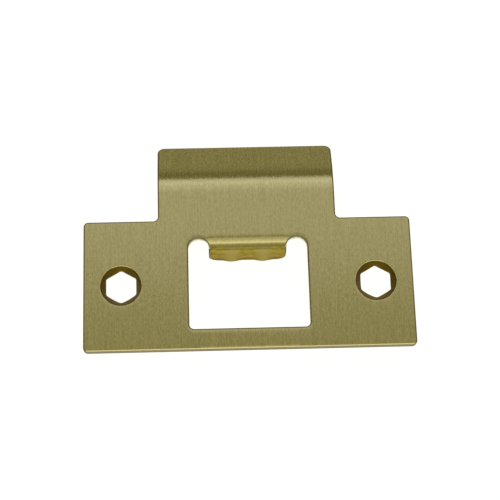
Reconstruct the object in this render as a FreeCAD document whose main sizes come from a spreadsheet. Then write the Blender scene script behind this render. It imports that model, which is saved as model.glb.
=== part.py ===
import FreeCAD, Part
import os
import Sketcher

# A door strike plate folded from one sheet: a flat T-shaped plate, a lip that curves back
# from its top edge, a latch opening, a fluted tab that folds back from the top of the
# opening between two round relief notches, and two countersunk screw holes with
# hexagonal throats.
# X runs along the row of screw holes, Y towards the lip and Z out of the front face.
# The origin lies midway between the screw holes, on the back face.

NODE = "strike_plate"

# Driving sizes, in millimetres and degrees
SIZES = {
    "thickness": 1.5875,
    "plate_length": 69.85,
    "plate_height": 28.575,
    "plate_corner_radius": 1.0,
    "lip_width": 38.1,
    "lip_reach": 32.7,
    "lip_bend_start": 19.7,
    "lip_bend_radius": 19.05,
    "lip_angle": 25.0,
    "lip_root_radius": 1.0,
    "lip_tip_radius": 1.5,
    "opening_width": 25.4,
    "opening_height": 19.95,
    "opening_rise": 0.2,
    "opening_corner_radius": 1.0,
    "notch_radius": 2.2,
    "tab_bend_setback": 0.1,
    "tab_bend_inner_radius": 1.27,
    "tab_depth": 7.1,
    "tab_tip_radius": 1.5,
    "flute_spacing": 6.8,
    "flute_width": 5.0,
    "flute_height": 0.35,
    "hole_to_end": 7.9375,
    "countersink_diameter": 8.6,
    "countersink_angle": 82.0,
    "hexagon_across_flats": 6.35,
    "edge_radius": 0.3,
}

# How near, in millimetres, two lengths or places have to be to count as the same
TOLERANCE = 1e-4
# Steps in the turn of a notch's wall
FLARE_STEPS = 6

# Features that take material away
CUTS = ("Pocket", "Groove", "SubtractiveLoft")

# Sizes that follow from the driving ones, as expressions on the sheet
T = "Sizes.thickness"
# Cuts run this far past what they cut
CUT_MARGIN = T
LIP_BACK_RADIUS = f"(Sizes.lip_bend_radius - {T})"
LIP_BEND_END = "(Sizes.lip_bend_start + Sizes.lip_bend_radius * sin(Sizes.lip_angle))"
LIP_DROP = (
    "(Sizes.lip_bend_radius * (1 - cos(Sizes.lip_angle))"
    f" + (Sizes.lip_reach - {LIP_BEND_END}) * tan(Sizes.lip_angle))"
)
OPENING_TOP = "(Sizes.opening_rise + Sizes.opening_height / 2)"
OPENING_BOTTOM = "(Sizes.opening_rise - Sizes.opening_height / 2)"
NOTCH_X = "(Sizes.opening_width / 2 - Sizes.notch_radius)"
NOTCH_Y = f"({OPENING_TOP} - Sizes.notch_radius)"
TAB_HALF_WIDTH = f"({NOTCH_X} - Sizes.notch_radius)"
TAB_BEND_TOP = f"({OPENING_TOP} - Sizes.tab_bend_setback)"
TAB_OUTER_RADIUS = f"(Sizes.tab_bend_inner_radius + {T})"
TAB_FRONT = f"({TAB_BEND_TOP} - {TAB_OUTER_RADIUS})"
# The flare of a notch's wall starts where its drawn edge ends, and turns as far as the notch is round
FLARE_RADIUS = f"({TAB_OUTER_RADIUS} - Sizes.edge_radius)"
FLARE_TURN = f"asin(({TAB_BEND_TOP} - {NOTCH_Y}) / {FLARE_RADIUS})"
TAB_BACK = f"({TAB_FRONT} + {T})"
TAB_BEND_END = f"({T} - {TAB_OUTER_RADIUS})"
TAB_TIP = f"({T} - Sizes.tab_depth)"
FLUTE_QUARTER = "(Sizes.flute_width / 4)"
FLUTE_ARC = (
    f"(({FLUTE_QUARTER} * {FLUTE_QUARTER} + Sizes.flute_height * Sizes.flute_height / 4)"
    " / Sizes.flute_height)"
)
HOLE_X = "(Sizes.plate_length / 2 - Sizes.hole_to_end)"
HEXAGON_CORNER = "(Sizes.hexagon_across_flats / sqrt(3))"
COUNTERSINK_RADIUS = "(Sizes.countersink_diameter / 2)"
COUNTERSINK_DEPTH = f"({COUNTERSINK_RADIUS} / tan(Sizes.countersink_angle / 2))"


def make_sheet(doc):
    sheet = doc.addObject("Spreadsheet::Sheet", "Sizes")
    for row, (name, value) in enumerate(SIZES.items(), start=1):
        sheet.set(f"A{row}", name)
        sheet.set(f"B{row}", str(value))
        sheet.setAlias(f"B{row}", name)
    doc.recompute()
    return sheet


def origin_plane(body, role):
    return next(feature for feature in body.Origin.OriginFeatures if feature.Role == role)


def make_sketch(body, name, plane, offset=None):
    """An empty sketch on one of the body's origin planes.

    offset holds expressions that move it (Base.x, Base.y, Base.z) or turn it about its own
    X axis (Rotation.Angle).
    """
    sketch = body.newObject("Sketcher::SketchObject", name)
    sketch.AttachmentSupport = (origin_plane(body, plane), [""])
    sketch.MapMode = "FlatFace"
    sketch.AttachmentOffset.Rotation.Axis = FreeCAD.Vector(1, 0, 0)
    for part, expression in (offset or {}).items():
        sketch.setExpression(f"AttachmentOffset.{part}", expression)
    return sketch


def bind(sketch, constraint, expression):
    number = sketch.addConstraint(constraint)
    sketch.setExpression(f"Constraints[{number}]", expression)


def arc_between(start, end, radius, turn):
    """The short arc from start to end, which turns left where turn is 1 and right where it is -1."""
    chord = end - start
    side = FreeCAD.Vector(-chord.y, chord.x, 0).normalize() * turn
    height = (radius**2 - chord.Length**2 / 4) ** 0.5
    centre = (start + end) / 2 + side * height
    middle = centre - side * radius
    return Part.Arc(start, middle, end)


def draw(sheet, sketch, outline):
    """Adds a closed outline, a list of corners (x, y) or (x, y, radius, turn).

    x, y and radius are expressions. With a radius, the edge that ends at that corner is an arc.
    """
    value = sheet.evalExpression
    points = [FreeCAD.Vector(value(c[0]), value(c[1]), 0) for c in outline]
    first = sketch.GeometryCount
    count = len(outline)
    for i, corner in enumerate(outline):
        start, end = points[i - 1], points[i]
        if len(corner) == 2:
            sketch.addGeometry(Part.LineSegment(start, end))
        else:
            sketch.addGeometry(arc_between(start, end, value(corner[2]), corner[3]))
    ends = []
    for i, corner in enumerate(outline):
        turned = len(corner) > 2 and corner[3] < 0
        ends.append((1, 2) if turned else (2, 1))
    for i, corner in enumerate(outline):
        edge, following = first + i, first + (i + 1) % count
        end_of_edge, start_of_next = ends[i][0], ends[(i + 1) % count][1]
        sketch.addConstraint(Sketcher.Constraint("Coincident", edge, end_of_edge, following, start_of_next))
        bind(sketch, Sketcher.Constraint("DistanceX", -1, 1, edge, end_of_edge, points[i].x), corner[0])
        bind(sketch, Sketcher.Constraint("DistanceY", -1, 1, edge, end_of_edge, points[i].y), corner[1])
        if len(corner) > 2:
            bind(sketch, Sketcher.Constraint("Radius", edge, value(corner[2])), corner[2])


def turned_back(corners):
    """The same corners drawn the other way round, each arc turning the other way."""
    arcs = [(corner[2], -corner[3]) if len(corner) > 2 else () for corner in corners]
    following = arcs[1:] + arcs[:1]
    return [corner[:2] + arc for corner, arc in zip(corners, following)][::-1]


def mirrored(outline):
    """The same outline on the other side of X = 0."""
    flipped = []
    for x, y, *arc in outline:
        flipped.append((f"-({x})", y, arc[0], -arc[1]) if arc else (f"-({x})", y))
    return flipped


def pad(doc, body, sketch, name, length):
    feature = body.newObject("PartDesign::Pad", name)
    feature.Profile = sketch
    feature.SideType = "Symmetric"
    feature.setExpression("Length", length)
    doc.recompute()
    return feature


def pocket_through(doc, body, sketch, name):
    feature = body.newObject("PartDesign::Pocket", name)
    feature.Profile = sketch
    feature.SideType = "Symmetric"
    feature.Type = "ThroughAll"
    doc.recompute()
    return feature


def mirror(doc, body, features, name):
    """Repeats features on the other side of X = 0."""
    copy = body.newObject("PartDesign::Mirrored", name)
    copy.Originals = features
    copy.MirrorPlane = (origin_plane(body, "YZ_Plane"), [""])
    body.Tip = copy
    doc.recompute()


def fillet(doc, body, name, radius, chosen):
    """Rounds the edges of the body so far for which chosen(edge) holds."""
    base = body.Tip
    names = [f"Edge{i}" for i, edge in enumerate(base.Shape.Edges, start=1) if chosen(edge)]
    feature = body.newObject("PartDesign::Fillet", name)
    feature.Base = (base, names)
    feature.setExpression("Radius", radius)
    doc.recompute()
    return feature


def add_plate_and_lip(doc, sheet, body):
    """The side view of plate and lip, drawn once and given the plate's length."""
    profile = make_sketch(body, "plate_and_lip_profile", "YZ_Plane")
    draw(
        sheet,
        profile,
        [
            ("-Sizes.plate_height / 2", "0"),
            ("Sizes.lip_bend_start", "0"),
            (
                f"Sizes.lip_bend_start + {LIP_BACK_RADIUS} * sin(Sizes.lip_angle)",
                f"-{LIP_BACK_RADIUS} * (1 - cos(Sizes.lip_angle))",
                LIP_BACK_RADIUS,
                -1,
            ),
            (
                f"Sizes.lip_reach - {T} * sin(Sizes.lip_angle)",
                f"{T} - {LIP_DROP} - {T} * cos(Sizes.lip_angle)",
            ),
            ("Sizes.lip_reach", f"{T} - {LIP_DROP}"),
            (LIP_BEND_END, f"{T} - Sizes.lip_bend_radius * (1 - cos(Sizes.lip_angle))"),
            ("Sizes.lip_bend_start", T, "Sizes.lip_bend_radius", 1),
            ("-Sizes.plate_height / 2", T),
        ],
    )
    pad(doc, body, profile, "plate_and_lip", "Sizes.plate_length")


def add_ears(doc, sheet, body):
    """Cuts the sheet away on both sides of the lip, down to the ears."""
    side = "Sizes.lip_width / 2"
    top = "Sizes.plate_height / 2"
    outer = f"Sizes.plate_length / 2 + {CUT_MARGIN}"
    far = f"Sizes.lip_reach + {CUT_MARGIN}"
    radius = "Sizes.lip_root_radius"
    right = [
        (side, far),
        (side, f"{top} + {radius}"),
        (f"{side} + {radius}", top, radius, 1),
        (outer, top),
        (outer, far),
    ]
    sketch = make_sketch(body, "ear_outline", "XY_Plane")
    draw(sheet, sketch, right)
    draw(sheet, sketch, mirrored(right))
    pocket_through(doc, body, sketch, "ears")


def add_corner_rounds(doc, sheet, body):
    plate_end = sheet.plate_length / 2
    lip_side = sheet.lip_width / 2
    tip_start = sheet.lip_reach - sheet.thickness

    def across_sheet(edge):
        return abs(edge.Length - sheet.thickness) < TOLERANCE

    def plate_corner(edge):
        return across_sheet(edge) and abs(abs(edge.CenterOfMass.x) - plate_end) < TOLERANCE

    def lip_corner(edge):
        middle = edge.CenterOfMass
        return across_sheet(edge) and abs(abs(middle.x) - lip_side) < TOLERANCE and middle.y > tip_start

    fillet(doc, body, "plate_corners", "Sizes.plate_corner_radius", plate_corner)
    fillet(doc, body, "lip_corners", "Sizes.lip_tip_radius", lip_corner)


def add_opening(doc, sheet, body):
    """The latch opening, cut up to the fold of the tab between the notches."""
    side = "Sizes.opening_width / 2"
    radius = "Sizes.opening_corner_radius"
    sketch = make_sketch(body, "opening_outline", "XY_Plane")
    draw(
        sheet,
        sketch,
        [
            (f"-{side}", NOTCH_Y),
            (f"-{side}", f"{OPENING_BOTTOM} + {radius}"),
            (f"-{side} + {radius}", OPENING_BOTTOM, radius, 1),
            (f"{side} - {radius}", OPENING_BOTTOM),
            (side, f"{OPENING_BOTTOM} + {radius}", radius, 1),
            (side, NOTCH_Y),
            (NOTCH_X, NOTCH_Y),
            (NOTCH_X, TAB_BEND_TOP),
            (f"-{NOTCH_X}", TAB_BEND_TOP),
            (f"-{NOTCH_X}", NOTCH_Y),
        ],
    )
    pocket_through(doc, body, sketch, "opening")


def add_tab_fold(doc, sheet, body):
    """A quarter turn of the sheet, from the top of the opening towards the back."""
    profile = make_sketch(body, "tab_fold_profile", "YZ_Plane")
    draw(
        sheet,
        profile,
        [
            (TAB_BEND_TOP, "0", "Sizes.tab_bend_inner_radius", -1),
            (TAB_BEND_TOP, T),
            (TAB_FRONT, TAB_BEND_END, TAB_OUTER_RADIUS, 1),
            (TAB_BACK, TAB_BEND_END),
        ],
    )
    pad(doc, body, profile, "tab_fold", f"2 * {NOTCH_X}")


def add_notches(doc, sheet, body):
    """A round-ended slot on each side of the tab, which frees its fold."""
    outer = "Sizes.opening_width / 2"
    low = f"{TAB_FRONT} - {CUT_MARGIN}"
    right = [
        (TAB_HALF_WIDTH, low),
        (outer, low),
        (outer, NOTCH_Y),
        (NOTCH_X, OPENING_TOP, "Sizes.notch_radius", 1),
        (TAB_HALF_WIDTH, NOTCH_Y, "Sizes.notch_radius", 1),
    ]
    sketch = make_sketch(body, "notch_outline", "XY_Plane")
    draw(sheet, sketch, right)
    draw(sheet, sketch, mirrored(right))
    pocket_through(doc, body, sketch, "notches")


def add_flares(doc, sheet, body):
    """Turns the wall of each notch with the fold, so that it stays square to the sheet."""
    inner = "Sizes.tab_bend_inner_radius / 2"
    sections = []
    for step in range(FLARE_STEPS + 1):
        turn = f"({FLARE_TURN} * {step} / {FLARE_STEPS})"
        above_centre = f"{TAB_BEND_TOP} - {FLARE_RADIUS} * sin({turn}) - {NOTCH_Y}"
        side = f"{NOTCH_X} - sqrt(Sizes.notch_radius ^ 2 - ({above_centre}) ^ 2)"
        place = {
            "Base.y": "-Sizes.tab_bend_inner_radius",
            "Base.z": f"-{TAB_BEND_TOP}",
            "Rotation.Angle": turn,
        }
        section = make_sketch(body, f"flare_section_{step}", "XZ_Plane", place)
        corners = [(side, inner), (NOTCH_X, inner), (NOTCH_X, FLARE_RADIUS), (side, FLARE_RADIUS)]
        draw(sheet, section, corners)
        sections.append(section)
    flare = body.newObject("PartDesign::SubtractiveLoft", "flare")
    flare.Profile = sections[0]
    flare.Sections = sections[1:]
    doc.recompute()
    rest = add_tab_side(doc, sheet, body)
    mirror(doc, body, [flare, rest], "other_flare")


def add_tab_side(doc, sheet, body):
    """Cuts the rest of the fold, past the flare, to the tab's width."""
    axis_height = "-Sizes.tab_bend_inner_radius"
    reach = f"{TAB_OUTER_RADIUS} * 1.5"
    sketch = make_sketch(body, "tab_side_outline", "YZ_Plane", {"Base.z": TAB_HALF_WIDTH})
    draw(
        sheet,
        sketch,
        [
            (TAB_BEND_TOP, axis_height),
            (
                f"{TAB_BEND_TOP} - {reach} * sin({FLARE_TURN})",
                f"{axis_height} + {reach} * cos({FLARE_TURN})",
            ),
            (f"{TAB_BEND_TOP} - {reach}", axis_height),
        ],
    )
    cut = body.newObject("PartDesign::Pocket", "tab_side")
    cut.Profile = sketch
    cut.Reversed = True
    cut.setExpression("Length", "Sizes.notch_radius")
    doc.recompute()
    return cut


def flute_corners(level, height):
    """One face of the tab in section, left to right: two ridges of this height towards the opening."""
    half = "Sizes.flute_spacing / 2"
    flank = f"{level} - {height} / 2"
    corners = []
    for centre in (f"-{half}", half):
        corners += [
            (f"{centre} - 2 * {FLUTE_QUARTER}", level),
            (f"{centre} - {FLUTE_QUARTER}", flank, FLUTE_ARC, -1),
            (f"{centre} + {FLUTE_QUARTER}", flank, FLUTE_ARC, 1),
            (f"{centre} + 2 * {FLUTE_QUARTER}", level, FLUTE_ARC, -1),
        ]
    return corners


def tab_section(height, fluted):
    """The tab's section: drawn front edges, ridges on both faces or the same corners in line."""
    edge = "Sizes.edge_radius"
    front = flute_corners(TAB_FRONT, height)
    back = turned_back(flute_corners(TAB_BACK, height))
    if not fluted:
        front = [corner[:2] for corner in front]
        back = [corner[:2] for corner in back]
    return [
        (f"-{TAB_HALF_WIDTH} + {edge}", TAB_FRONT, edge, 1),
        *front,
        (f"{TAB_HALF_WIDTH} - {edge}", TAB_FRONT),
        (TAB_HALF_WIDTH, f"{TAB_FRONT} + {edge}", edge, 1),
        (TAB_HALF_WIDTH, TAB_BACK),
        *back,
        (f"-{TAB_HALF_WIDTH}", TAB_BACK),
        (f"-{TAB_HALF_WIDTH}", f"{TAB_FRONT} + {edge}"),
    ]


def add_tab(doc, sheet, body):
    """The straight length of the tab, plain at the fold and fluted at its tip."""
    root = make_sketch(body, "tab_root_section", "XY_Plane", {"Base.z": TAB_BEND_END})
    draw(sheet, root, tab_section("0", fluted=False))
    tip = make_sketch(body, "tab_tip_section", "XY_Plane", {"Base.z": TAB_TIP})
    draw(sheet, tip, tab_section("Sizes.flute_height", fluted=True))
    tab = body.newObject("PartDesign::AdditiveLoft", "tab")
    tab.Profile = root
    tab.Sections = [tip]
    tab.Ruled = True
    doc.recompute()


def add_tab_corner_rounds(doc, sheet, body):
    """Cuts the two corners of the tab's tip round, without reaching the lip behind it."""
    radius = "Sizes.tab_tip_radius"
    outer = f"{TAB_HALF_WIDTH} + {CUT_MARGIN}"
    low = f"{TAB_TIP} - {CUT_MARGIN}"
    right = [
        (TAB_HALF_WIDTH, f"{TAB_TIP} + {radius}"),
        (f"{TAB_HALF_WIDTH} - {radius}", TAB_TIP, radius, -1),
        (f"{TAB_HALF_WIDTH} - {radius}", low),
        (outer, low),
        (outer, f"{TAB_TIP} + {radius}"),
    ]
    sketch = make_sketch(body, "tab_corner_outline", "XZ_Plane")
    draw(sheet, sketch, right)
    draw(sheet, sketch, mirrored(right))
    corners = body.newObject("PartDesign::Pocket", "tab_corners")
    corners.Profile = sketch
    corners.setExpression("Length", f"{TAB_BACK} + {CUT_MARGIN}")
    doc.recompute()


def add_screw_holes(doc, sheet, body):
    """One hexagonal throat with its countersink, mirrored to the other end of the plate."""
    place = {"Base.x": HOLE_X}
    flat = "Sizes.hexagon_across_flats / 2"
    hexagon = make_sketch(body, "throat_outline", "XY_Plane", place)
    draw(
        sheet,
        hexagon,
        [
            (flat, f"-{HEXAGON_CORNER} / 2"),
            (flat, f"{HEXAGON_CORNER} / 2"),
            ("0", HEXAGON_CORNER),
            (f"-{flat}", f"{HEXAGON_CORNER} / 2"),
            (f"-{flat}", f"-{HEXAGON_CORNER} / 2"),
            ("0", f"-{HEXAGON_CORNER}"),
        ],
    )
    throat = pocket_through(doc, body, hexagon, "throat")
    cone = make_sketch(body, "countersink_profile", "XZ_Plane", place)
    draw(
        sheet,
        cone,
        [
            ("0", T),
            ("0", f"{T} - {COUNTERSINK_DEPTH}"),
            (COUNTERSINK_RADIUS, T),
        ],
    )
    countersink = body.newObject("PartDesign::Groove", "countersink")
    countersink.Profile = cone
    countersink.ReferenceAxis = (cone, ["V_Axis"])
    countersink.Angle = 360
    doc.recompute()
    mirror(doc, body, [throat, countersink], "other_screw_hole")


def add_edge_rounds(doc, sheet, body):
    """The edges drawn in by the punch, all round the front face, its openings and the screw holes."""
    front = sheet.thickness
    plate_end = sheet.plate_length / 2
    bottom = -sheet.plate_height / 2
    opening_side = sheet.opening_width / 2
    rim = sheet.countersink_diameter / 2

    def on_front(edge):
        return edge.BoundBox.ZMin > front - TOLERANCE

    def round_rim(edge):
        curve = edge.Curve
        return isinstance(curve, Part.Circle) and abs(curve.Radius - rim) < TOLERANCE

    def chosen(edge):
        middle = edge.CenterOfMass
        at_bottom = abs(middle.y - bottom) < TOLERANCE
        at_opening = abs(abs(middle.x) - opening_side) < TOLERANCE
        return on_front(edge) and (round_rim(edge) or at_bottom or at_opening)

    fillet(doc, body, "drawn_edges", "Sizes.edge_radius", chosen)


def check(doc, body):
    """Stops unless every object is sound and every cut removed something."""
    for item in doc.Objects:
        if {"Invalid", "Error"} & set(item.State):
            raise RuntimeError(f"{item.Name} failed: {item.State}")
    for feature in body.Group:
        if any(feature.isDerivedFrom(f"PartDesign::{kind}") for kind in CUTS):
            if feature.Shape.Volume >= feature.BaseFeature.Shape.Volume - TOLERANCE:
                raise RuntimeError(f"{feature.Name} cuts nothing")
    if body.Shape.isNull() or not body.Shape.isValid() or len(body.Shape.Solids) != 1:
        raise RuntimeError("the strike plate isn't one sound solid")


def main():
    doc = FreeCAD.newDocument("door_strike_plate")
    sheet = make_sheet(doc)
    body = doc.addObject("PartDesign::Body", NODE)
    body.Label = NODE
    add_plate_and_lip(doc, sheet, body)
    add_ears(doc, sheet, body)
    add_corner_rounds(doc, sheet, body)
    add_opening(doc, sheet, body)
    add_tab_fold(doc, sheet, body)
    add_notches(doc, sheet, body)
    add_screw_holes(doc, sheet, body)
    add_edge_rounds(doc, sheet, body)
    add_flares(doc, sheet, body)
    add_tab(doc, sheet, body)
    add_tab_corner_rounds(doc, sheet, body)
    doc.recompute()
    check(doc, body)
    os.makedirs("parts", exist_ok=True)
    body.Shape.exportStep(f"parts/{body.Label}.step")
    box = body.Shape.optimalBoundingBox(False, False)
    print(f"{body.Label}: volume {body.Shape.Volume:.1f} mm3")
    print(f"size {box.XLength:.2f} x {box.YLength:.2f} x {box.ZLength:.2f} mm")


main()
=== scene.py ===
import math

import bmesh
import bpy
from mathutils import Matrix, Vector


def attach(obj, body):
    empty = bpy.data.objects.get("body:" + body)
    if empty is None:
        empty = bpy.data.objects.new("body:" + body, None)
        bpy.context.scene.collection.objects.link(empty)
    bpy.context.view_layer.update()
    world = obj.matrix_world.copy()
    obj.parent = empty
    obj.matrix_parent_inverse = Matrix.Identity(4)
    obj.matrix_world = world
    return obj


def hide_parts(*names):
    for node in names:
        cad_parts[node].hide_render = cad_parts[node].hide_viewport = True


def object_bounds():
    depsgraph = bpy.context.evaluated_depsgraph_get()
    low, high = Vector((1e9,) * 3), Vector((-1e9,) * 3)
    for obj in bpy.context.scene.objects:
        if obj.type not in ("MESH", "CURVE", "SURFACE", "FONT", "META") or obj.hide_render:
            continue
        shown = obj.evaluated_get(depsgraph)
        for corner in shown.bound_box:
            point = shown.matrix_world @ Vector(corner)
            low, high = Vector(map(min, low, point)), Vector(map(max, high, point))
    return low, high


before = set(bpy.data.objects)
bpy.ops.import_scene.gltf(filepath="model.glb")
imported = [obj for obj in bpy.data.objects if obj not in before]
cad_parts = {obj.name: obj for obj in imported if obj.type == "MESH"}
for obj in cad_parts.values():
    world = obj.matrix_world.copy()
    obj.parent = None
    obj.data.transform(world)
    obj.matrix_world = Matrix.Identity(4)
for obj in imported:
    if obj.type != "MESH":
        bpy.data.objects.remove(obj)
cad_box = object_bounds()

# A door strike plate in satin brass. Its sheet is drawn flat, as it was punched, and then
# rolled about its two bends. Lengths are in millimetres until a point is rolled.
NODE = "strike_plate"
MM = 0.001

# The sheet
THICKNESS = 1.5875
PLATE_LENGTH = 69.85
PLATE_HEIGHT = 28.575
PLATE_CORNER_RADIUS = 1.0
EDGE_RADIUS = 0.3
BACK_BREAK = 0.06
# Beside the rounded edge the front face falls away a little, where the punch drew it down
CROWN_WIDTH = 0.6
CROWN_DROP = 0.016

# The lip: its bend is measured on the front face
LIP_WIDTH = 38.1
LIP_REACH = 32.7
LIP_BEND_START = 19.7
LIP_BEND_RADIUS = 19.05
LIP_ANGLE = math.radians(25)
LIP_ROOT_RADIUS = 1.0
LIP_TIP_RADIUS = 1.5
LIP_BEND_LENGTH = LIP_BEND_RADIUS * LIP_ANGLE
LIP_BEND_END = LIP_BEND_START + LIP_BEND_LENGTH
LIP_STRAIGHT = (LIP_REACH - LIP_BEND_START - LIP_BEND_RADIUS * math.sin(LIP_ANGLE)) / math.cos(LIP_ANGLE)
LIP_END = LIP_BEND_END + LIP_STRAIGHT

# The latch opening and its relief notches
OPENING_WIDTH = 25.4
OPENING_HEIGHT = 19.95
OPENING_RISE = 0.2
OPENING_TOP = OPENING_RISE + OPENING_HEIGHT / 2
OPENING_CORNER_RADIUS = 1.0
NOTCH_RADIUS = 2.2
NOTCH_X = OPENING_WIDTH / 2 - NOTCH_RADIUS
NOTCH_Y = OPENING_TOP - NOTCH_RADIUS

# The tab: the upper part of its fold lies beside the round of the notches
TAB_HALF_WIDTH = NOTCH_X - NOTCH_RADIUS
TAB_BEND_SETBACK = 0.1
TAB_BEND_TOP = OPENING_TOP - TAB_BEND_SETBACK
TAB_BEND_INNER_RADIUS = 1.27
TAB_FOLD_RADIUS = TAB_BEND_INNER_RADIUS + THICKNESS
TAB_DEPTH = 7.1
TAB_TIP_RADIUS = 2.3
TAB_STRAIGHT = TAB_DEPTH - TAB_FOLD_RADIUS
NOTCH_TURN = math.asin((TAB_BEND_TOP - NOTCH_Y) / TAB_FOLD_RADIUS)
TAB_FOLD_END = NOTCH_Y - TAB_FOLD_RADIUS * (math.pi / 2 - NOTCH_TURN)
TAB_END = TAB_FOLD_END - TAB_STRAIGHT
FLUTE_SPACING = 6.8
FLUTE_WIDTH = 5.0
FLUTE_HEIGHT = 0.35
# The fold sets in gently over this length, less so towards the notches
EASE = 1.2
EASE_FADE = 3.0

# The screw holes: their hexagonal throats have blunt corners
HOLE_TO_END = 7.9375
HOLE_X = PLATE_LENGTH / 2 - HOLE_TO_END
COUNTERSINK_RADIUS = 4.3
COUNTERSINK_HALF_ANGLE = math.radians(41)
HEXAGON_APOTHEM = 3.175
HEXAGON_REACH = 3.56
# The rims of the screw holes keep a painted highlight only outside a circle, which lies a little low;
# inside it they take the countersinks' painted shade
RIM_HIGHLIGHT_RADIUS = 4.375
RIM_HIGHLIGHT_DROP = 0.05

# How finely curves are drawn
ARC_STEP = 7.5
EDGE_STEPS = 6
HOLE_STEPS = 96
LIP_STEP = 0.25
FOLD_STEP = 0.1
FLUTE_STEP = 0.25
TAB_STEP = 0.4
SHARP_ANGLE = math.radians(32)
# A corner this near to a cutting line lies on it
ON_LINE = 1e-5

# Faces of the mesh by finish
BRUSHED, HIGHLIGHTED_EDGE, SHEARED, PUNCHED, COUNTERSUNK = range(5)
# Steps of the rounded edge, from the front, that carry a painted highlight
HIGHLIGHT_STEPS = 3

# Tones of the finishes
SATIN_DARK = (0.57, 0.508, 0.255, 1)
SATIN_LIGHT = (0.75, 0.672, 0.345, 1)
# The tab's golden tones: partly its own unbrushed tone, partly painted shade where it faces down
GOLD_AND_SHADE_DARK = (0.24, 0.19, 0.018, 1)
GOLD_AND_SHADE_LIGHT = (0.40, 0.33, 0.07, 1)
# Darker painted shade further along the tab, darkest at its tip
TAB_SHADE_DARK = (0.17, 0.11, 0.01, 1)
TAB_SHADE_LIGHT = (0.42, 0.30, 0.065, 1)
TIP_SHADE = (0.15, 0.10, 0.02, 1)
# A painted highlight on the tab's ridges
RIDGE_HIGHLIGHT = (0.35, 0.28, 0.085, 1)
GRAZING_TINT = (0.72, 0.68, 0.48, 1)
# A painted highlight on the rounded front edge
PAINTED_HIGHLIGHT_TONE = (0.88, 0.79, 0.50, 1)
SHEARED_FRONT = (0.25, 0.21, 0.09, 1)
SHEARED_BACK = (0.13, 0.10, 0.04, 1)
# The opening's cut edge: painted shade at its front, and towards the back a pale painted reflection of the
# white floor
OPENING_EDGE_SHADE = (0.27, 0.23, 0.11, 1)
OPENING_EDGE_REFLECTION = (0.90, 0.86, 0.70, 1)
# Painted shade of the countersinks' hollows, varied by faint tool rings
COUNTERSINK_SHADE_DARK = (0.055, 0.033, 0.001, 1)
COUNTERSINK_SHADE_LIGHT = (0.30, 0.205, 0.022, 1)
# Shares of the tab's length over which the satin turns golden, partly the tab's own tone and partly painted
# shade, then darker with painted shade, then dark with painted shade at the tip
GOLD_AND_SHADE_ZONE = (0.12, 0.24)
TAB_SHADE_ZONE = (0.36, 0.46)
TIP_SHADE_ZONE = (0.74, 0.84)
# Heights between which a cut edge goes from its front tone to its back tone, and how unevenly
CUT_TOP = 1.3
CUT_FOOT = 0.2
CUT_UNEVENNESS = 0.3

# Textures of the finishes: changes per millimetre along X, Y and Z, the first three on the flat sheet
LONG_STROKES = (3.0, 0.12, 1)
SHORT_STROKES = (3.2, 1.0, 1)
STAINS = (0.6, 1.6, 1)
PUNCH_MARKS = (2.5, 2.5, 0.3)
TOOL_RINGS = (0.6, 0.6, 9.0)
# Layers of finer detail in them
STROKE_DETAIL = 3.0
STAIN_DETAIL = 4.0
PUNCH_DETAIL = 3.0
RING_DETAIL = 2.0
# How far the short strokes cover the long ones, and the values between which a texture shows
SHORT_STROKES_SHARE = 0.6
STROKE_CONTRAST = (0.38, 0.62)
STAIN_CONTRAST = (0.3, 0.7)
# Depth of the grain, its strength in each finish, and how rough each finish is
GRAIN_DEPTH = 0.05
BRUSHED_GRAIN = 0.12
CUT_GRAIN = 0.3
COUNTERSUNK_GRAIN = 0.2
BRUSHED_ROUGHNESS = (0.25, 0.29)
HIGHLIGHT_ROUGHNESS = 0.3
CUT_ROUGHNESS = 0.45
COUNTERSUNK_ROUGHNESS = 0.55

# The stage and its light, in metres
FLOOR_RADIUS = 3.0
FLOOR_STEPS = 96
FLOOR_GLOW = 0.9
FLOOR_WHITE = (1, 1, 1, 1)
FLOOR_PLAIN = (0.8, 0.8, 0.8, 1)
FLOOR_SHADED = (0.3, 0.3, 0.3, 1)
SOFTBOX_DISTANCE = 1.5
SOFTBOX_LENGTH = 2.4
COOL = (0.75, 0.80, 1.0)
WARM = (1.0, 0.99, 0.80)
AIR_TONE = (1.0, 0.93, 0.44, 1)
AIR_STRENGTH = 0.185
# Soft lamps in a row over the plate, whose light adds up where they overlap: their edges in
# degrees from straight up, towards -Y, then their radiance and tint
LAMPS = {
    "low_back_softbox": (-86, -60, 0.10, WARM),
    "back_softbox": (-47.6, -17.5, 0.30, COOL),
    "back_strip": (-47.6, -32, 0.13, COOL),
    "back_edge_strip": (-47.6, -39, 0.28, COOL),
    "top_softbox": (-47.6, -8.5, 0.175, WARM),
    "front_softbox": (-8.5, 36, 0.48, WARM),
    "front_strip": (3, 33, 0.22, WARM),
    "front_edge_strip": (14, 28, 0.28, WARM),
    "low_front_softbox": (36, 90, 0.34, WARM),
    "low_front_strip": (66, 90, 0.36, WARM),
}

# The photograph's view, with its turns in degrees
CAMERA_PLACE = Vector((-9.652, -94.618, 307.886))
CAMERA_TURNS = (18.440, -1.313, -1.736)
CAMERA_LENS = 109.28
CAMERA_SENSOR = 36
CAMERA_CLIP = 10


def arc(centre_x, centre_y, radius, start, end):
    """Points from one angle to another, in degrees, both ends included."""
    steps = max(2, round(abs(end - start) / ARC_STEP))
    points = []
    for i in range(steps + 1):
        angle = math.radians(start + (end - start) * i / steps)
        points.append(Vector((centre_x + radius * math.cos(angle), centre_y + radius * math.sin(angle))))
    return points


def both_sides(right):
    """A closed outline from the points of its right half."""
    return right + [Vector((-point.x, point.y)) for point in reversed(right)]


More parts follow.
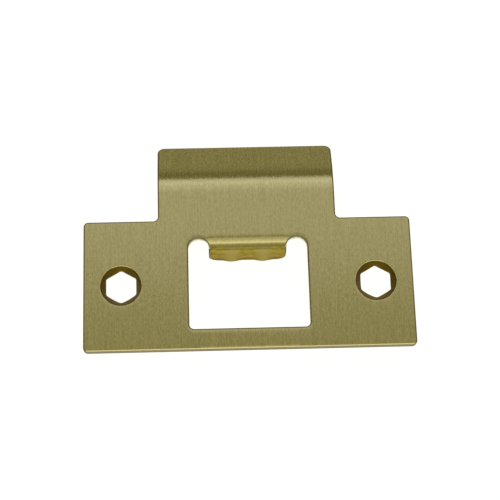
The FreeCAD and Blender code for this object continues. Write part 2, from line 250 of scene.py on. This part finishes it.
def plate_outline():
    end = PLATE_LENGTH / 2 - PLATE_CORNER_RADIUS
    side = PLATE_HEIGHT / 2 - PLATE_CORNER_RADIUS
    root_x = LIP_WIDTH / 2 + LIP_ROOT_RADIUS
    root_y = PLATE_HEIGHT / 2 + LIP_ROOT_RADIUS
    tip_x = LIP_WIDTH / 2 - LIP_TIP_RADIUS
    right = arc(end, -side, PLATE_CORNER_RADIUS, -90, 0)
    right += arc(end, side, PLATE_CORNER_RADIUS, 0, 90)
    right += arc(root_x, root_y, LIP_ROOT_RADIUS, 270, 180)
    right += arc(tip_x, LIP_END - LIP_TIP_RADIUS, LIP_TIP_RADIUS, 0, 90)
    return both_sides(right)


def opening_outline():
    corner_x = OPENING_WIDTH / 2 - OPENING_CORNER_RADIUS
    corner_y = OPENING_TOP - OPENING_HEIGHT + OPENING_CORNER_RADIUS
    right = arc(corner_x, corner_y, OPENING_CORNER_RADIUS, -90, 0)
    right += arc(NOTCH_X, NOTCH_Y, NOTCH_RADIUS, 0, 180)
    right += arc(TAB_HALF_WIDTH - TAB_TIP_RADIUS, TAB_END + TAB_TIP_RADIUS, TAB_TIP_RADIUS, 0, -90)
    return both_sides(right)


def inset(outline, distance, side):
    """The outline moved into the sheet, which lies on its left (side 1) or right (side -1)."""
    moved = []
    for i, point in enumerate(outline):
        before = (point - outline[i - 1]).normalized()
        after = (outline[(i + 1) % len(outline)] - point).normalized()
        along = (before + after).normalized()
        across = Vector((-along.y, along.x)) * side
        moved.append(point + across * distance / along.dot(before))
    return moved


def edge_profile():
    """The sheet's edge from front to back, as insets and heights: drawn round in front, broken behind."""
    profile = [(EDGE_RADIUS + CROWN_WIDTH, THICKNESS)]
    top = THICKNESS - CROWN_DROP
    for i in range(EDGE_STEPS + 1):
        angle = math.pi / 2 * i / EDGE_STEPS
        profile.append((EDGE_RADIUS * (1 - math.sin(angle)), top - EDGE_RADIUS * (1 - math.cos(angle))))
    profile.append((0, BACK_BREAK))
    profile.append((BACK_BREAK, 0))
    return profile


def add_rings(mesh, rings, finishes):
    """Joins rings of points by bands of faces. Returns the first and the last ring's corners."""
    corners = [[mesh.verts.new(point) for point in ring] for ring in rings]
    for upper, lower, finish in zip(corners, corners[1:], finishes):
        for i in range(len(upper)):
            face = mesh.faces.new((upper[i - 1], upper[i], lower[i], lower[i - 1]))
            face.material_index = finish
    return corners[0], corners[-1]


def edge_finishes(rings, finish):
    """Finishes of the bands between the rings of an edge: face, round with a painted highlight, cut wall.
    """
    return [BRUSHED] + [HIGHLIGHTED_EDGE] * HIGHLIGHT_STEPS + [finish] * (rings - 2 - HIGHLIGHT_STEPS)


def add_edge(mesh, outline, side, finish):
    """The sheet's edge along an outline."""
    rings = []
    for distance, height in edge_profile():
        rings.append([point.to_3d() + Vector((0, 0, height)) for point in inset(outline, distance, side)])
    return add_rings(mesh, rings, edge_finishes(len(rings), finish))


def hexagon_radius(angle):
    """Distance from the middle of a screw hole to its hexagonal throat."""
    sixth = math.pi / 3
    return min(HEXAGON_APOTHEM / math.cos((angle + sixth / 2) % sixth - sixth / 2), HEXAGON_REACH)


def add_screw_hole(mesh, hole_x):
    """A rounded rim, the countersink's cone and the hexagonal throat."""
    turn = math.pi / 2 - COUNTERSINK_HALF_ANGLE
    rim_centre = COUNTERSINK_RADIUS + EDGE_RADIUS * math.tan(turn / 2)
    angles = [2 * math.pi * i / HOLE_STEPS for i in range(HOLE_STEPS)]
    rings = [[(rim_centre + CROWN_WIDTH, THICKNESS)] * HOLE_STEPS]
    for i in range(EDGE_STEPS + 1):
        tilt = turn * i / EDGE_STEPS
        radius = rim_centre - EDGE_RADIUS * math.sin(tilt)
        height = THICKNESS - EDGE_RADIUS * (1 - math.cos(tilt))
        rings.append([(radius, height)] * HOLE_STEPS)
    throat = []
    for angle in angles:
        radius = hexagon_radius(angle)
        depth = (COUNTERSINK_RADIUS - radius) / math.tan(COUNTERSINK_HALF_ANGLE)
        throat.append((radius, THICKNESS - depth))
    rings.append(throat)
    rings.append([(radius, 0) for radius, height in throat])
    placed = []
    for ring in rings:
        points = []
        for angle, (radius, height) in zip(angles, ring):
            points.append(Vector((hole_x + radius * math.cos(angle), radius * math.sin(angle), height)))
        placed.append(points)
    return add_rings(mesh, placed, edge_finishes(len(rings), COUNTERSUNK))


def fill(mesh, loops):
    """Faces between an outline and the loops inside it."""
    edges = []
    for loop in loops:
        edges += [mesh.edges.get((loop[i - 1], loop[i])) for i in range(len(loop))]
    bmesh.ops.triangle_fill(mesh, edges=edges, use_beauty=True)


def cut_lines(mesh, direction, places):
    """Cuts every face along lines across the sheet, so that it can bend there."""
    for place in places:
        bmesh.ops.bisect_plane(
            mesh,
            geom=mesh.verts[:] + mesh.edges[:] + mesh.faces[:],
            plane_co=direction * place,
            plane_no=direction,
            dist=ON_LINE,
        )


def steps_between(start, end, step):
    count = round(abs(end - start) / step)
    return [start + (end - start) * i / count for i in range(count + 1)]


def on_tab(u, v):
    return abs(u) < NOTCH_X and 0 < v < TAB_BEND_TOP + EASE


def tab_share(u, v):
    """How far a point lies along the tab, from 0 on the plate to 1 at the tip."""
    return max(TAB_BEND_TOP - v, 0) / (TAB_BEND_TOP - TAB_END) if on_tab(u, v) else 0.0


def fold_turn(v):
    """The turn of the tab's fold. Beside the notches it keeps their round as seen from the front."""
    if v > NOTCH_Y:
        return math.asin(max(TAB_BEND_TOP - v, 0) / TAB_FOLD_RADIUS)
    return min(NOTCH_TURN + (NOTCH_Y - v) / TAB_FOLD_RADIUS, math.pi / 2)


def drawn_in(u, along):
    """How far the sheet is drawn in where the fold sets in gently, this far along from its top."""
    share = min((NOTCH_X - abs(u)) / EASE_FADE, 1)
    reach = EASE * share**2 * (3 - 2 * share)
    if along <= -reach:
        return 0.0
    if along >= reach:
        return reach**2 / (6 * TAB_FOLD_RADIUS)
    depth = (along + reach) ** 3 / (12 * reach * TAB_FOLD_RADIUS)
    return depth - max(along, 0) ** 2 / (2 * TAB_FOLD_RADIUS)


def flute(u):
    """Height of the tab's two ridges at its tip."""
    offset = abs(abs(u) - FLUTE_SPACING / 2)
    if offset > FLUTE_WIDTH / 2:
        return 0.0
    return FLUTE_HEIGHT / 2 * (1 + math.cos(2 * math.pi * offset / FLUTE_WIDTH))


def rolled(u, v, w):
    """A point of the flat sheet, w above its back face, as it lies once the sheet is bent."""
    if v > LIP_BEND_START:
        turn = min((v - LIP_BEND_START) / LIP_BEND_RADIUS, LIP_ANGLE)
        straight = max(v - LIP_BEND_END, 0)
        radius = LIP_BEND_RADIUS - THICKNESS + w
        y = LIP_BEND_START + radius * math.sin(turn) + straight * math.cos(turn)
        z = THICKNESS - LIP_BEND_RADIUS + radius * math.cos(turn) - straight * math.sin(turn)
        return Vector((u, y, z)) * MM
    if on_tab(u, v):
        turn = fold_turn(v)
        straight = max(TAB_FOLD_END - v, 0)
        above = max(v - TAB_BEND_TOP, 0)
        radius = TAB_BEND_INNER_RADIUS + w - drawn_in(u, TAB_FOLD_RADIUS * turn - above)
        y = TAB_BEND_TOP + above - radius * math.sin(turn) - flute(u) * straight / TAB_STRAIGHT
        z = -TAB_BEND_INNER_RADIUS + radius * math.cos(turn) - straight
        return Vector((u, y, z)) * MM
    return Vector((u, v, w)) * MM


def keep_foot_highlight(mesh):
    """Keeps the painted highlight on the rounded edge only along the foot of the plate, and gives the rest
    of the round, and the edge of the tab, the darker tones of the cut edges.
    """
    for face in mesh.faces:
        u, v = face.calc_center_median().xy
        if face.material_index == HIGHLIGHTED_EDGE and v > EDGE_RADIUS - PLATE_HEIGHT / 2:
            at_opening = abs(u) < OPENING_WIDTH / 2 + EDGE_RADIUS and abs(v) < OPENING_TOP + EDGE_RADIUS
            face.material_index = PUNCHED if at_opening else SHEARED
        if face.material_index == PUNCHED and on_tab(u, v) and v < NOTCH_Y:
            face.material_index = SHEARED


def keep_rim_highlight_outside(mesh):
    """Keeps the painted highlight on the rims of the screw holes only outside the circle; inside it they
    take the countersinks' painted shade.
    """
    for face in mesh.faces:
        u, v = face.calc_center_median().xy
        in_rim_shade = math.hypot(abs(u) - HOLE_X, v + RIM_HIGHLIGHT_DROP) < RIM_HIGHLIGHT_RADIUS
        if face.material_index == HIGHLIGHTED_EDGE and in_rim_shade:
            face.material_index = COUNTERSUNK


def draw_sheet(mesh):
    """The flat sheet, punched and countersunk."""
    edges = [add_edge(mesh, plate_outline(), 1, SHEARED), add_edge(mesh, opening_outline(), -1, PUNCHED)]
    keep_foot_highlight(mesh)
    edges += [add_screw_hole(mesh, -HOLE_X), add_screw_hole(mesh, HOLE_X)]
    keep_rim_highlight_outside(mesh)
    fill(mesh, [front for front, back in edges])
    fill(mesh, [back for front, back in edges])
    up = Vector((0, 1, 0))
    right = Vector((1, 0, 0))
    cut_lines(mesh, up, steps_between(LIP_BEND_START, LIP_BEND_END, LIP_STEP))
    cut_lines(mesh, up, steps_between(TAB_BEND_TOP + EASE, TAB_FOLD_END, FOLD_STEP))
    cut_lines(mesh, up, steps_between(TAB_FOLD_END, TAB_END, TAB_STEP)[1:-1])
    cut_lines(mesh, right, steps_between(-NOTCH_X, NOTCH_X, FLUTE_STEP))


def make_plate():
    """The bent sheet, with its flat drawing kept as the map that the brushing follows."""
    mesh = bmesh.new()
    draw_sheet(mesh)
    bmesh.ops.recalc_face_normals(mesh, faces=mesh.faces)
    brushing = mesh.loops.layers.uv.new("brushing")
    tab = mesh.verts.layers.float.new("tab")
    ridge = mesh.verts.layers.float.new("ridge")
    for face in mesh.faces:
        face.smooth = True
        for corner in face.loops:
            corner[brushing].uv = corner.vert.co.xy
    for vert in mesh.verts:
        vert[tab] = tab_share(vert.co.x, vert.co.y)
        vert[ridge] = flute(vert.co.x) / FLUTE_HEIGHT
        vert.co = rolled(*vert.co)
    data = bpy.data.meshes.new("folded_plate")
    mesh.to_mesh(data)
    mesh.free()
    data.set_sharp_from_angle(angle=SHARP_ANGLE)
    plate = bpy.data.objects.new("folded_plate", data)
    bpy.context.scene.collection.objects.link(plate)
    normals = plate.modifiers.new("even_normals", "WEIGHTED_NORMAL")
    normals.keep_sharp = True
    return plate


class Finish:
    """A node material, built up from its shader."""

    # Places among the sockets of a mix node, whose names repeat
    FIRST_VALUE = 2
    SECOND_VALUE = 3
    FIRST_COLOUR = 6
    SECOND_COLOUR = 7
    MIXED_VALUE = 0
    MIXED_COLOUR = 2

    def __init__(self, name):
        self.material = bpy.data.materials.new(name)
        self.material.use_nodes = True
        self.tree = self.material.node_tree
        self.shader = self.tree.nodes["Principled BSDF"]

    def put(self, node, socket, value):
        """Sets a socket of a node to a value, or links it to another node's output."""
        if isinstance(value, bpy.types.NodeSocket):
            self.tree.links.new(value, node.inputs[socket])
        else:
            node.inputs[socket].default_value = value

    def set(self, socket, value):
        self.put(self.shader, socket, value)

    def add(self, kind, inputs=None, **settings):
        """A new node, with its inputs and settings."""
        node = self.tree.nodes.new(kind)
        for name, setting in settings.items():
            setattr(node, name, setting)
        for socket, value in (inputs or {}).items():
            self.put(node, socket, value)
        return node

    def noise(self, place, scale, detail):
        """Uneven values over a place, which change faster along an axis with a larger scale."""
        scaled = self.add("ShaderNodeMapping", {"Vector": place, "Scale": scale}).outputs["Vector"]
        grain = {"Vector": scaled, "Scale": 1.0, "Detail": detail}
        return self.add("ShaderNodeTexNoise", grain).outputs["Fac"]

    def ramp(self, value, start, end):
        """A share that grows from 0 at the start to 1 at the end, and stays within them."""
        limits = {"Value": value, "From Min": start, "From Max": end}
        return self.add("ShaderNodeMapRange", limits).outputs["Result"]

    def blend(self, share, first, second):
        """The colour that lies this share of the way from one colour to another."""
        colours = {"Factor": share, self.FIRST_COLOUR: first, self.SECOND_COLOUR: second}
        return self.add("ShaderNodeMix", colours, data_type="RGBA").outputs[self.MIXED_COLOUR]

    def mingle(self, share, first, second):
        """The value that lies this share of the way from one value to another."""
        values = {"Factor": share, self.FIRST_VALUE: first, self.SECOND_VALUE: second}
        return self.add("ShaderNodeMix", values).outputs[self.MIXED_VALUE]

    def emboss(self, height, strength):
        """Gives the surface a fine grain."""
        grain = {"Height": height, "Strength": strength, "Distance": GRAIN_DEPTH * MM}
        self.set("Normal", self.add("ShaderNodeBump", grain).outputs["Normal"])


def brushed_brass():
    """Satin brass, brushed up and down the plate. On the tab it turns golden, partly its own tone and
    partly painted shade, then darker with painted shade towards its tip, and its ridges carry a painted
    highlight.
    """
    finish = Finish("brushed_brass")
    sheet = finish.add("ShaderNodeUVMap", uv_map="brushing").outputs["UV"]
    long_strokes = finish.noise(sheet, LONG_STROKES, STROKE_DETAIL)
    short_strokes = finish.noise(sheet, SHORT_STROKES, STROKE_DETAIL)
    strokes = finish.ramp(finish.mingle(SHORT_STROKES_SHARE, long_strokes, short_strokes), *STROKE_CONTRAST)
    satin = finish.blend(strokes, SATIN_DARK, SATIN_LIGHT)
    stain = finish.ramp(finish.noise(sheet, STAINS, STAIN_DETAIL), *STAIN_CONTRAST)
    # Along the tab the satin gives way to gold with painted shade, darker painted shade, dark painted shade
    # at the tip, and painted highlights on the ridges
    gold_and_shade = finish.blend(stain, GOLD_AND_SHADE_DARK, GOLD_AND_SHADE_LIGHT)
    tab_shade = finish.blend(stain, TAB_SHADE_DARK, TAB_SHADE_LIGHT)
    tab = finish.add("ShaderNodeAttribute", attribute_name="tab").outputs["Fac"]
    ridge = finish.add("ShaderNodeAttribute", attribute_name="ridge").outputs["Fac"]
    gold_into_shade = finish.blend(finish.ramp(tab, *TAB_SHADE_ZONE), gold_and_shade, tab_shade)
    shade_tipped = finish.blend(finish.ramp(tab, *TIP_SHADE_ZONE), gold_into_shade, TIP_SHADE)
    ridge_highlighted = finish.blend(ridge, shade_tipped, RIDGE_HIGHLIGHT)
    finish.set("Base Color", finish.blend(finish.ramp(tab, *GOLD_AND_SHADE_ZONE), satin, ridge_highlighted))
    smooth, rough = BRUSHED_ROUGHNESS
    uneven = finish.add("ShaderNodeMapRange", {"Value": strokes, "To Min": smooth, "To Max": rough})
    finish.set("Roughness", uneven.outputs["Result"])
    finish.emboss(strokes, BRUSHED_GRAIN)
    across = finish.add("ShaderNodeTangent", direction_type="UV_MAP", uv_map="brushing")
    finish.set("Tangent", across.outputs["Tangent"])
    finish.set("Anisotropic", 1.0)
    finish.set("Metallic", 1.0)
    finish.set("Specular Tint", GRAZING_TINT)
    return finish.material


def painted_highlight_brass():
    """The rounded front edge of the sheet, with a painted highlight: a pale tone in place of brighter
    light.
    """
    finish = Finish("painted_highlight_brass")
    finish.set("Base Color", PAINTED_HIGHLIGHT_TONE)
    finish.set("Metallic", 1.0)
    finish.set("Roughness", HIGHLIGHT_ROUGHNESS)
    return finish.material


def cut_brass(name, front, back):
    """A cut edge of the sheet, from a front tone to a back tone, with the marks of the punch across it."""
    finish = Finish(name)
    place = finish.add("ShaderNodeTexCoord").outputs["Object"]
    marks = finish.noise(place, [changes / MM for changes in PUNCH_MARKS], PUNCH_DETAIL)
    height = finish.add("ShaderNodeSeparateXYZ", {"Vector": place}).outputs["Z"]
    depth = finish.ramp(height, CUT_TOP * MM, CUT_FOOT * MM)
    uneven = {0: marks, 1: CUT_UNEVENNESS, 2: depth}
    torn = finish.add("ShaderNodeMath", uneven, operation="MULTIPLY_ADD").outputs[0]
    evened = {0: torn, 1: CUT_UNEVENNESS / 2}
    share = finish.add("ShaderNodeMath", evened, operation="SUBTRACT", use_clamp=True).outputs[0]
    finish.set("Base Color", finish.blend(share, front, back))
    finish.emboss(marks, CUT_GRAIN)
    finish.set("Metallic", 1.0)
    finish.set("Roughness", CUT_ROUGHNESS)
    return finish.material


def countersunk_brass():
    """The cones and throats of the screw holes: dark with painted shade of the hollow, with faint tool
    rings.
    """
    finish = Finish("countersunk_brass")
    place = finish.add("ShaderNodeTexCoord").outputs["Object"]
    marks = finish.noise(place, [changes / MM for changes in TOOL_RINGS], RING_DETAIL)
    finish.set("Base Color", finish.blend(marks, COUNTERSINK_SHADE_DARK, COUNTERSINK_SHADE_LIGHT))
    finish.emboss(marks, COUNTERSUNK_GRAIN)
    finish.set("Metallic", 1.0)
    finish.set("Roughness", COUNTERSUNK_ROUGHNESS)
    return finish.material


def white_floor():
    """White where it is seen, with a faint shadow, and clear from below."""
    finish = Finish("white_floor")
    rays = finish.add("ShaderNodeLightPath").outputs
    seen = rays["Is Camera Ray"]
    for kind in ("Is Glossy Ray", "Is Transmission Ray"):
        seen = finish.add("ShaderNodeMath", {0: seen, 1: rays[kind]}, operation="MAXIMUM").outputs[0]
    plain = finish.add("ShaderNodeBsdfDiffuse", {"Color": FLOOR_PLAIN}).outputs["BSDF"]
    shaded = finish.add("ShaderNodeBsdfDiffuse", {"Color": FLOOR_SHADED}).outputs["BSDF"]
    lit = {"Color": FLOOR_WHITE, "Strength": FLOOR_GLOW}
    glow = finish.add("ShaderNodeEmission", lit).outputs["Emission"]
    white = finish.add("ShaderNodeAddShader", {0: shaded, 1: glow}).outputs["Shader"]
    top = finish.add("ShaderNodeMixShader", {0: seen, 1: plain, 2: white}).outputs["Shader"]
    clear = finish.add("ShaderNodeBsdfTransparent").outputs["BSDF"]
    below = finish.add("ShaderNodeNewGeometry").outputs["Backfacing"]
    surface = finish.add("ShaderNodeMixShader", {0: below, 1: top, 2: clear}).outputs["Shader"]
    finish.put(finish.tree.nodes["Material Output"], "Surface", surface)
    finish.tree.nodes.remove(finish.shader)
    return finish.material


def add_floor():
    """A wide round floor, on which the tip of the tab stands."""
    bpy.ops.mesh.primitive_circle_add(
        vertices=FLOOR_STEPS,
        radius=FLOOR_RADIUS,
        fill_type="NGON",
        location=(0, 0, cad_box[0].z),
    )
    floor = bpy.context.object
    floor.name = "floor"
    floor.data.materials.append(white_floor())


def add_softbox(name, start, end, radiance, colour):
    """A long soft lamp above the plate, between two angles in degrees from straight up, towards -Y."""
    tilt = math.radians((start + end) / 2)
    width = 2 * SOFTBOX_DISTANCE * math.tan(math.radians((end - start) / 2))
    lamp = bpy.data.lights.new(name, "AREA")
    lamp.shape = "RECTANGLE"
    lamp.size = SOFTBOX_LENGTH
    lamp.size_y = width
    lamp.color = colour
    lamp.energy = radiance * math.pi * SOFTBOX_LENGTH * width
    box = bpy.data.objects.new(name, lamp)
    box.location = (0, -SOFTBOX_DISTANCE * math.sin(tilt), SOFTBOX_DISTANCE * math.cos(tilt))
    box.rotation_euler = (tilt, 0, 0)
    box.visible_camera = False
    bpy.context.scene.collection.objects.link(box)


def add_light():
    """The lamps, and a faint light from all around."""
    for name, (start, end, radiance, colour) in LAMPS.items():
        add_softbox(name, start, end, radiance, colour)
    world = bpy.data.worlds.new("studio")
    world.use_nodes = True
    air = world.node_tree.nodes["Background"]
    air.inputs["Color"].default_value = AIR_TONE
    air.inputs["Strength"].default_value = AIR_STRENGTH
    bpy.context.scene.world = world


def add_camera():
    """The photograph's view, from below the plate's middle and nearly square to it."""
    camera = bpy.data.objects.new("camera", bpy.data.cameras.new("camera"))
    camera.data.sensor_width = CAMERA_SENSOR
    camera.data.lens = CAMERA_LENS
    camera.data.clip_start = CAMERA_CLIP * MM
    camera.location = CAMERA_PLACE * MM
    camera.rotation_euler = [math.radians(turn) for turn in CAMERA_TURNS]
    bpy.context.scene.collection.objects.link(camera)
    bpy.context.scene.camera = camera


plate = make_plate()
plate.data.materials.append(brushed_brass())
# The rounded edge's painted highlight
plate.data.materials.append(painted_highlight_brass())
plate.data.materials.append(cut_brass("sheared_brass", SHEARED_FRONT, SHEARED_BACK))
# The opening's edge, with painted shade and a painted reflection
plate.data.materials.append(cut_brass("punched_edge_shade_and_reflection", OPENING_EDGE_SHADE, OPENING_EDGE_REFLECTION))
plate.data.materials.append(countersunk_brass())
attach(plate, "root")
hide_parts(NODE)
add_floor()
add_light()
add_camera()
bpy.context.scene.view_settings.view_transform = "Standard"
